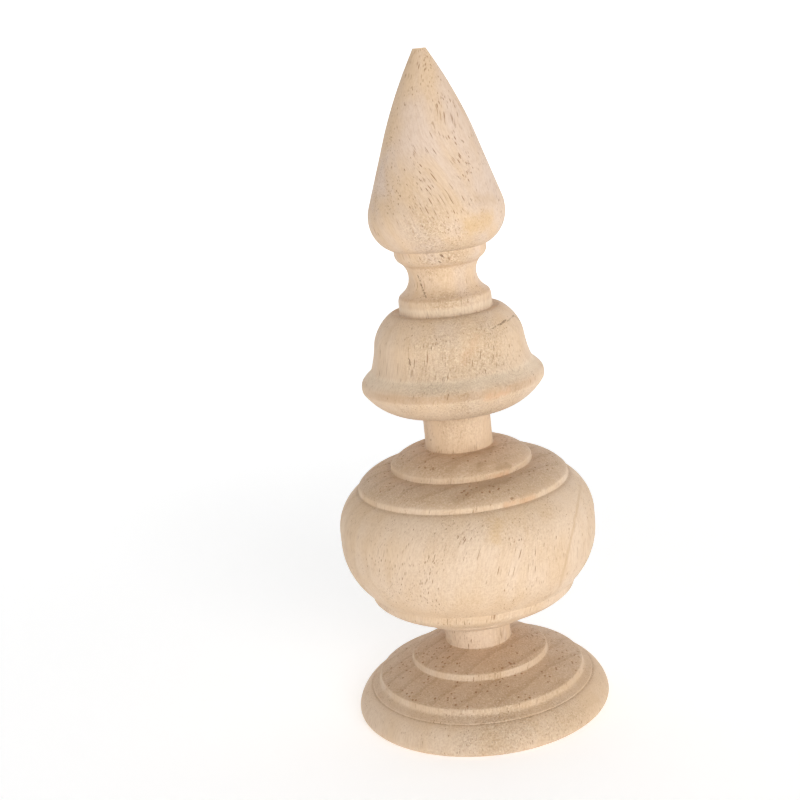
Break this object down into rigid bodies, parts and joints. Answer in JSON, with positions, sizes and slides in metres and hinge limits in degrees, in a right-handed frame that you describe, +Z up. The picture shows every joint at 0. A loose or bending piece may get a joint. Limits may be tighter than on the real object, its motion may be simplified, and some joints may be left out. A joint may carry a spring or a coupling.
{
  "type": "newel post finial",
  "caption": "Turned wooden finial: stepped foot, stepped ball between two necks, bell, ringed scotia and a pointed cap with a small flat tip.",
  "frame": {"origin": "centre of the flat underside of the foot, on the turning axis", "axes": "+Z up along the turning axis, from the underside to the tip; the finial is round, so X and Y are free"},
  "size_m": [0.0626, 0.0626, 0.16],
  "materials": {
    "wood": "unfinished, sanded, matt"
  },
  "bodies": {
    "root": {"finial": "wood"}
  },
  "joints": []
}
